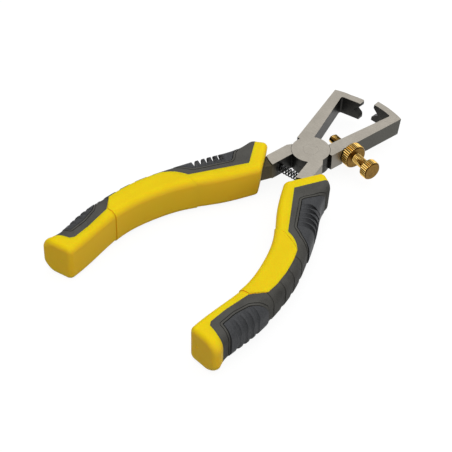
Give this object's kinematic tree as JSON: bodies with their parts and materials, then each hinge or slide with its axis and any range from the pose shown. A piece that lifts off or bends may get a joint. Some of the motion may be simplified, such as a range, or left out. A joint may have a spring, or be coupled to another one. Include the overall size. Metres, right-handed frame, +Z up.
{
  "type": "wire stripper",
  "caption": "Hand wire stripper: crossed steel levers on a pivot, hooked V-notched jaws, return spring, knurled adjusting screw with lock nut, and dual-colour moulded grips.",
  "frame": {"origin": "on the pivot axis, at the flat underside of the head", "axes": "+Y towards the jaws along the middle line, +X towards the right jaw, +Z up out of the head's top face"},
  "size_m": [0.084, 0.1481, 0.0156],
  "materials": {
    "ground_steel": "ground bright on the flats, dark forged sides, lightly oiled",
    "spring_steel": "drawn wire, dark",
    "brass": "turned and knurled, bright",
    "yellow_plastic": "moulded, satin",
    "grey_elastomer": "moulded soft cover, fine matt grain",
    "black_elastomer": "moulded soft pads, smooth satin"
  },
  "bodies": {
    "fixed_lever": {"right_jaw_lever": "ground_steel", "pivot_rivet": "ground_steel", "return_spring": "spring_steel", "left_grip_body": "yellow_plastic", "left_grip_cover": "grey_elastomer", "left_front_rib_pad": "black_elastomer", "left_rear_rib_pad": "black_elastomer"},
    "moving_lever": {"left_jaw_lever": "ground_steel", "right_grip_body": "yellow_plastic", "right_grip_cover": "grey_elastomer", "right_front_rib_pad": "black_elastomer", "right_rear_rib_pad": "black_elastomer"},
    "screw": {"adjusting_screw_stud": "brass"},
    "screw_knob": {"adjusting_screw_knob": "brass"},
    "lock_nut": {"adjusting_screw_lock_nut": "brass"}
  },
  "joints": [
    {"name": "jaw_pivot", "type": "hinge", "parent": "fixed_lever", "child": "moving_lever", "pos_m": [0, 0, 0.0036], "axis": [0, 0, -1], "range_deg": [0, 14], "stiffness_Nm_per_rad": 0.9, "springref_deg": -2.86, "deforming": ["return_spring"]},
    {"name": "screw_travel", "type": "slide", "parent": "fixed_lever", "child": "screw", "axis": [-0.9668, 0.2554, 0], "range_m": [-0.0028, 0.0007]},
    {"name": "knob_turn", "type": "hinge", "parent": "screw", "child": "screw_knob", "pos_m": [0.02385, 0.00847, 0.0036], "axis": [-0.9668, 0.2554, 0], "range_deg": [-1440, 360]},
    {"name": "lock_nut_travel", "type": "slide", "parent": "fixed_lever", "child": "lock_nut", "axis": [0.9668, -0.2554, 0], "range_m": [0, 0.002]}
  ],
  "couplings": [
    {"joint": "knob_turn", "follows": "screw_travel", "rad_per_m": 8976}
  ]
}
